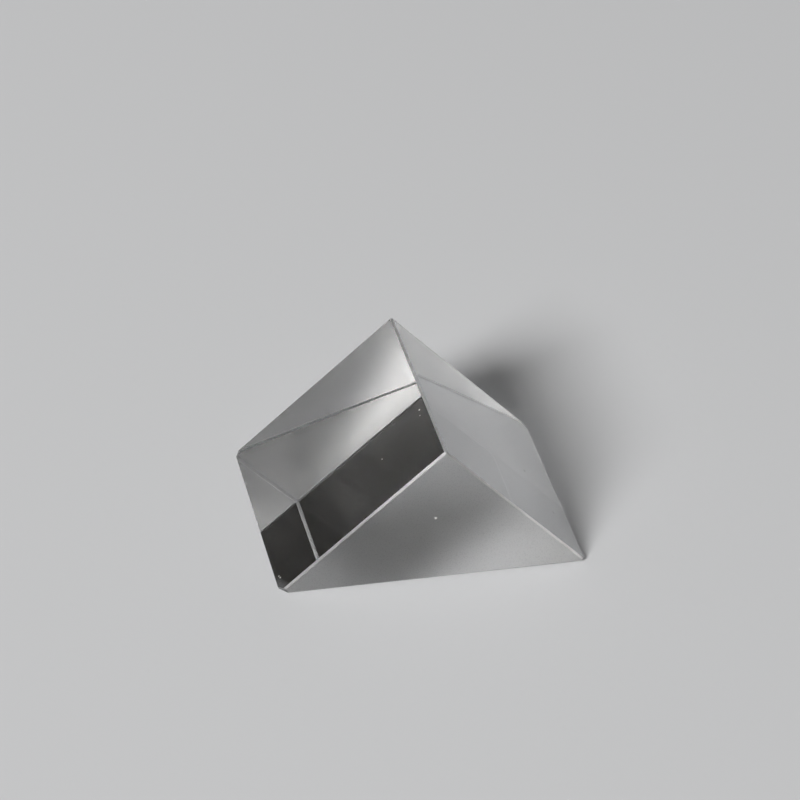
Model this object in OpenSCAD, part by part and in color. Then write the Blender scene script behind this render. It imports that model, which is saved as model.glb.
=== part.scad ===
// Right angle prism of clear glass, lying on its hypotenuse face.
// The cross-section is a right triangle with equal legs, and the ridge where the legs meet runs along Y.
// The acute edges lie beside the base at -X and +X, and the triangular ends face -Y and +Y.
// Every edge has a narrow ground flat, so that it doesn't chip, and the acute corners are blunted by hand.
// The origin is at the middle of the base.

/* [Prism] */
// Length of each leg of the triangle, between its sharp corners
leg_length = 25; // [10:0.5:50]
// Distance between the triangular ends
prism_length = 25; // [10:0.5:60]

/* [Ground edges] */
// Width of the flat ground along the ridge
ridge_flat = 0.31; // [0.1:0.01:1]
// Width of the flat ground along each acute edge
acute_flat = 0.3; // [0.1:0.01:1]
// Width of the bevel ground round both triangular ends
end_bevel = 0.31; // [0.1:0.01:1]

/* [Blunted corners] */
// Depth ground off the sharp corner at the front left
front_left_cut = 0.92; // [0.3:0.01:1.5]
// Depth ground off the sharp corner at the front right
front_right_cut = 0.55; // [0.3:0.01:1.5]
// Depth ground off the sharp corner at the back left
back_left_cut = 0.85; // [0.3:0.01:1.5]
// Depth ground off the sharp corner at the back right
back_right_cut = 0.8; // [0.3:0.01:1.5]
// How far below the horizontal the corner facets face, in degrees
corner_lean = 25; // [0:1:40]

/* [Hidden] */

// Slope of each leg face above the base, which makes the ridge a right angle
leg_slope = 45;
// The base, from the middle to a sharp acute edge, and the height of the sharp ridge
half_base = leg_length * cos(leg_slope);
apex_height = leg_length * sin(leg_slope);
half_length = prism_length / 2;
// The ridge flat is level, so it takes its half width times the slope off the height
ridge_half = ridge_flat / 2;
ridge_height = apex_height - ridge_half * tan(leg_slope);
// How far an acute flat, square to the bisector of its edge, sets back both faces that meet there
acute_setback = acute_flat / (2 * sin(leg_slope / 2));
// How far an end bevel, at 45 degrees, sets back both faces that meet there
bevel_setback = end_bevel * sin(45);
// A length that passes right through the prism from any of its faces
through = 2 * (leg_length + prism_length);

// Triangle with its three corners ground flat, and the height along Y.
module ground_triangle() {
    acute_x = half_base - acute_setback * cos(leg_slope);
    acute_z = acute_setback * sin(leg_slope);
    polygon([
        [ridge_half, ridge_height], [acute_x, acute_z], [half_base - acute_setback, 0],
        [acute_setback - half_base, 0], [-acute_x, acute_z], [-ridge_half, ridge_height]
    ]);
}

// All that lies behind one polished face, with a 45 degree bevel where the face meets each end.
// The face is level and looks up before it is tilted about Y.
module behind_face(tilt) {
    bevel_start = half_length - bevel_setback;
    rotate([0, tilt, 0])
        rotate([90, 0, 90])
            linear_extrude(height = through, center = true)
                polygon([
                    [-half_length, -through], [half_length, -through], [half_length, -bevel_setback],
                    [bevel_start, 0], [-bevel_start, 0], [-half_length, -bevel_setback]
                ]);
}

// Block that grinds a flat facet on one acute corner: side is -1 for left, end is -1 for front.
module corner_grind(side, end, depth) {
    translate([side * half_base, end * half_length, 0])
        rotate([0, 90 + corner_lean, atan2(end, side)])
            translate([0, 0, through / 2 - depth])
                cube(through, center = true);
}

module prism() {
    color([0.8, 0.83, 0.84, 0.6])
        difference() {
            intersection() {
                rotate([90, 0, 0])
                    linear_extrude(height = prism_length, center = true)
                        ground_triangle();
                behind_face(180);
                translate([0, 0, apex_height]) behind_face(leg_slope);
                translate([0, 0, apex_height]) behind_face(-leg_slope);
            }
            corner_grind(-1, -1, front_left_cut);
            corner_grind(1, -1, front_right_cut);
            corner_grind(-1, 1, back_left_cut);
            corner_grind(1, 1, back_right_cut);
        }
}

prism();
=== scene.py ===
import math

import bmesh
import bpy
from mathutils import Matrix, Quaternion, Vector

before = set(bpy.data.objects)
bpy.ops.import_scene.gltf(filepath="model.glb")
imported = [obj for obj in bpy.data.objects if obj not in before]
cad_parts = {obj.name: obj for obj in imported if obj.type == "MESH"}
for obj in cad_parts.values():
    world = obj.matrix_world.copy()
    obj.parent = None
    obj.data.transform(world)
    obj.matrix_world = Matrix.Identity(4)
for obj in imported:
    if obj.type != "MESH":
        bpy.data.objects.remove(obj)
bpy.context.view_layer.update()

# ---- Camera ----
# A long lens that looks down on the prism from the front, a little from its left, with a slight
# tilt of the horizon. The angles are azimuth from the front and elevation above the floor.
camera_azimuth = math.radians(-16.645)
camera_elevation = math.radians(37.033)
camera_roll = math.radians(4.768)
camera_distance = 0.3354
camera_aim = Vector((-0.001875, 0, 0.01545))
lens_length = 137.09
sensor_width = 36
nearest_seen = 0.01
farthest_seen = 10


def direction(azimuth, elevation):
    level = math.cos(elevation)
    return Vector((level * math.sin(azimuth), -level * math.cos(azimuth), math.sin(elevation)))


scene = bpy.context.scene
camera_data = bpy.data.cameras.new("studio_camera")
camera_data.lens = lens_length
camera_data.sensor_width = sensor_width
camera_data.clip_start = nearest_seen
camera_data.clip_end = farthest_seen
camera = bpy.data.objects.new("studio_camera", camera_data)
scene.collection.objects.link(camera)
towards_camera = direction(camera_azimuth, camera_elevation)
camera.location = camera_aim + towards_camera * camera_distance
camera.rotation_mode = "QUATERNION"
level_view = (-towards_camera).to_track_quat("-Z", "Y")
camera.rotation_quaternion = level_view @ Quaternion((0, 0, 1), camera_roll)
scene.camera = camera

# ---- Prism ----
# One block of clear optical crown glass. The two legs and the hypotenuse it lies on are polished.
# The triangular ends, the ridge and the front chamfers are fine ground, and the chamfers round the
# base and the back end come off a coarser wheel and carry a darker grey as painted shade. A few
# specks of dust cling to it.
glass_index = 1.5168
on_the_face = 2e-6
front_roughness = 0.55
back_roughness = 0.5
coarse_roughness = 0.8
# A darker grey, painted on the coarse chamfers as painted shade and also used for the grain flecks.
painted_shade_and_fleck_grey = (0.5, 0.51, 0.52, 1)
untinted = (1, 1, 1, 1)
coarse_reach = 0.00032
noise_detail = 2
noise_middle = 0.5
grain_scale = 7500
grain_depth = 8e-6
grain_share = 2
mottle_scale = 450
mottle_share = 0.08
dust_colour = (0.85, 0.84, 0.8, 1)
dust_roughness = 0.9
specks = [
    ((-0.00075, -0.00391, 0.01692), 0.00014, 0.6),
    ((-0.00090, -0.00473, 0.01678), 0.00010, 0.4),
    ((-0.00522, -0.00627, 0.01246), 0.00010, 0.4),
    ((-0.00045, -0.01250, 0.00860), 0.00019, 1),
    ((-0.01702, -0.01017, 0.00066), 0.00012, 0.4),
    ((-0.01694, -0.01052, 0.00074), 0.00013, 0.5),
    ((0.01308, -0.00127, 0.00460), 0.00018, 0.3),
    ((0.01520, -0.00647, 0.00248), 0.00017, 0.25),
]


class Field:
    def __init__(self, socket):
        self.socket = socket
        self.tree = socket.id_data

    def feed(self, value):
        if isinstance(value, Field):
            self.tree.links.new(value.socket, self.socket)
        else:
            self.socket.default_value = value

    def node(self, kind, settings, inputs):
        made = self.tree.nodes.new(kind)
        for name, value in settings.items():
            setattr(made, name, value)
        for key, value in inputs.items():
            Field(made.inputs[key]).feed(value)
        return made

    def maths(self, operation, *values):
        made = self.node("ShaderNodeMath", {"operation": operation}, dict(enumerate(values)))
        return Field(made.outputs[0])

    def __add__(self, other):
        return self.maths("ADD", self, other)

    def __radd__(self, other):
        return self.maths("ADD", other, self)

    def __sub__(self, other):
        return self.maths("SUBTRACT", self, other)

    def __rsub__(self, other):
        return self.maths("SUBTRACT", other, self)

    def __mul__(self, other):
        return self.maths("MULTIPLY", self, other)

    def __rmul__(self, other):
        return self.maths("MULTIPLY", other, self)

    def __abs__(self):
        return self.maths("ABSOLUTE", self)

    def __lt__(self, other):
        return self.maths("LESS_THAN", self, other)

    def __gt__(self, other):
        return self.maths("GREATER_THAN", self, other)


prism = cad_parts["prism"]
sharp_ridge = max(abs(corner.co.x) + corner.co.z for corner in prism.data.vertices)
end_face = max(corner.co.y for corner in prism.data.vertices)

glass = bpy.data.materials.new("optical_glass")
glass.use_nodes = True
nodes = glass.node_tree.nodes
nodes.remove(nodes["Principled BSDF"])
surface = Field(nodes["Material Output"].inputs["Surface"])
place = Field(surface.node("ShaderNodeTexCoord", {}, {}).outputs["Object"])
axes = place.node("ShaderNodeSeparateXYZ", {}, {"Vector": place}).outputs
across, along, height = (Field(axis) for axis in axes)

# What doesn't lie on the base or on a leg is ground. Of that, the chamfers low down and those at
# the back end are coarse and carry painted shade, and the two end faces are not.
below_leg = sharp_ridge - abs(across) - height
polished = place.maths("MINIMUM", height, below_leg) < on_the_face
ground = 1 - polished
off_the_ends = abs(along) < end_face - on_the_face
low_or_behind = place.maths("MAXIMUM", height < coarse_reach, along > end_face - coarse_reach)
coarse_and_shaded = ground * off_the_ends * low_or_behind


def speckle(scale):
    inputs = {"Vector": place, "Scale": scale, "Detail": noise_detail}
    return Field(place.node("ShaderNodeTexNoise", {}, inputs).outputs[0])


grain = speckle(grain_scale)
above_middle = grain - noise_middle
mottle = (speckle(mottle_scale) - noise_middle) * mottle_share + above_middle * mottle_share
fine = (along > 0) * (back_roughness - front_roughness) + front_roughness + mottle
roughness = ground * fine + coarse_and_shaded * (coarse_roughness - back_roughness)
flecks = place.maths("MAXIMUM", above_middle, 0) * grain_share
# The coarse chamfers take the grey fully as painted shade; the other ground faces take it only in
# random grain flecks.
painted_shade_and_flecks = coarse_and_shaded + (ground - coarse_and_shaded) * flecks

# Sockets 0, 6 and 7 of a colour Mix are its factor and its two colours, and output 2 is its colour.
# This colour Mix paints the coarse chamfers grey as painted shade and leaves grain flecks on the
# other ground faces.
shaded_and_flecked_tone = place.node("ShaderNodeMix", {"data_type": "RGBA"}, {0: painted_shade_and_flecks, 6: untinted, 7: painted_shade_and_fleck_grey})
relief = place.node("ShaderNodeBump", {}, {"Height": grain * ground, "Distance": grain_depth})
clear = place.node("ShaderNodeBsdfPrincipled", {}, {
    "Base Color": Field(shaded_and_flecked_tone.outputs[2]),
    "Roughness": roughness,
    "IOR": glass_index,
    "Transmission Weight": 1,
    "Normal": Field(relief.outputs[0]),
})


# A speck covers its middle by its share, and thins out from half its radius to its rim.
def speck_cover(centre, radius, share):
    gap = place.node("ShaderNodeVectorMath", {"operation": "DISTANCE"}, {0: place, 1: centre})
    cover = place.node("ShaderNodeMapRange", {"interpolation_type": "SMOOTHSTEP"}, {
        "Value": Field(gap.outputs["Value"]),
        "From Min": radius,
        "From Max": radius / 2,
        "To Max": share,
    })
    return Field(cover.outputs[0])


dusted = sum(speck_cover(*speck) for speck in specks)
dust = place.node("ShaderNodeBsdfPrincipled", {}, {
    "Base Color": dust_colour,
    "Roughness": dust_roughness,
})
dressed = place.node("ShaderNodeMixShader", {}, {
    0: dusted,
    1: Field(clear.outputs[0]),
    2: Field(dust.outputs[0]),
})
surface.feed(Field(dressed.outputs[0]))
prism.material_slots[0].material = glass

# ---- Floor ----
# A pale paper sweep: a flat round table whose rim curves up all round, low enough that the lamps
# clear it. It lies a hair below the prism, as a real table touches glass at a few points only.
floor_gap = 2e-5
floor_radius = 0.45
rim_radius = 0.14
rim_angle = math.radians(60)
rim_steps = 12
turn_steps = 96
weld_distance = 1e-6
floor_grey = (0.612, 0.62, 0.638, 1)
paper_roughness = 1
paper_shine = 0.1

sweep = bmesh.new()
middle = sweep.verts.new((0, 0, -floor_gap))
outline = [middle, sweep.verts.new((floor_radius, 0, -floor_gap))]
for step in range(1, rim_steps + 1):
    turned = rim_angle * step / rim_steps
    outward = floor_radius + rim_radius * math.sin(turned)
    upward = rim_radius * (1 - math.cos(turned)) - floor_gap
    outline.append(sweep.verts.new((outward, 0, upward)))
edges = [sweep.edges.new(pair) for pair in zip(outline, outline[1:])]
bmesh.ops.spin(sweep, geom=outline + edges, cent=(0, 0, 0), axis=(0, 0, 1), angle=math.tau,
               steps=turn_steps, use_merge=True)
bmesh.ops.remove_doubles(sweep, verts=sweep.verts, dist=weld_distance)
bmesh.ops.recalc_face_normals(sweep, faces=sweep.faces)
for face in sweep.faces:
    face.smooth = True
floor_mesh = bpy.data.meshes.new("floor")
sweep.to_mesh(floor_mesh)
sweep.free()
floor = bpy.data.objects.new("floor", floor_mesh)
scene.collection.objects.link(floor)
paper = bpy.data.materials.new("floor_paper")
paper.use_nodes = True
paper_shader = paper.node_tree.nodes["Principled BSDF"]
paper_shader.inputs["Base Color"].default_value = floor_grey
paper_shader.inputs["Roughness"].default_value = paper_roughness
paper_shader.inputs["Specular IOR Level"].default_value = paper_shine
floor_mesh.materials.append(paper)

# ---- Light ----
# A large square soft box stands at the front left and a weak one hangs overhead. The room round
# them is dim, so that the parts of the glass which mirror it stay dark.
room_colour = (0.0105, 0.01, 0.0085, 1)
lamp_colour = (1, 0.992, 0.975)

world = bpy.data.worlds.new("studio")
world.use_nodes = True
world.node_tree.nodes["Background"].inputs["Color"].default_value = room_colour
scene.world = world


def softbox(name, azimuth, elevation, distance, width, power):
    lamp = bpy.data.lights.new(name, "AREA")
    lamp.color = lamp_colour
    lamp.shape = "SQUARE"
    lamp.size = width
    lamp.energy = power
    holder = bpy.data.objects.new(name, lamp)
    towards_lamp = direction(math.radians(azimuth), math.radians(elevation))
    holder.location = towards_lamp * distance
    holder.rotation_mode = "QUATERNION"
    holder.rotation_quaternion = (-towards_lamp).to_track_quat("-Z", "Y")
    scene.collection.objects.link(holder)


softbox("left_softbox", -54, 31, 3, 0.84, 130)
softbox("overhead_softbox", -53, 85, 2, 1, 5)

# ---- Picture ----
# Light can turn at many faces before it leaves the glass, so its path may be long. The colours are
# shown as they are, with no film look laid over them.
glass_turns = 24
mirror_turns = 16

scene.view_settings.view_transform = "Standard"
scene.cycles.max_bounces = glass_turns
scene.cycles.glossy_bounces = mirror_turns
scene.cycles.transmission_bounces = glass_turns
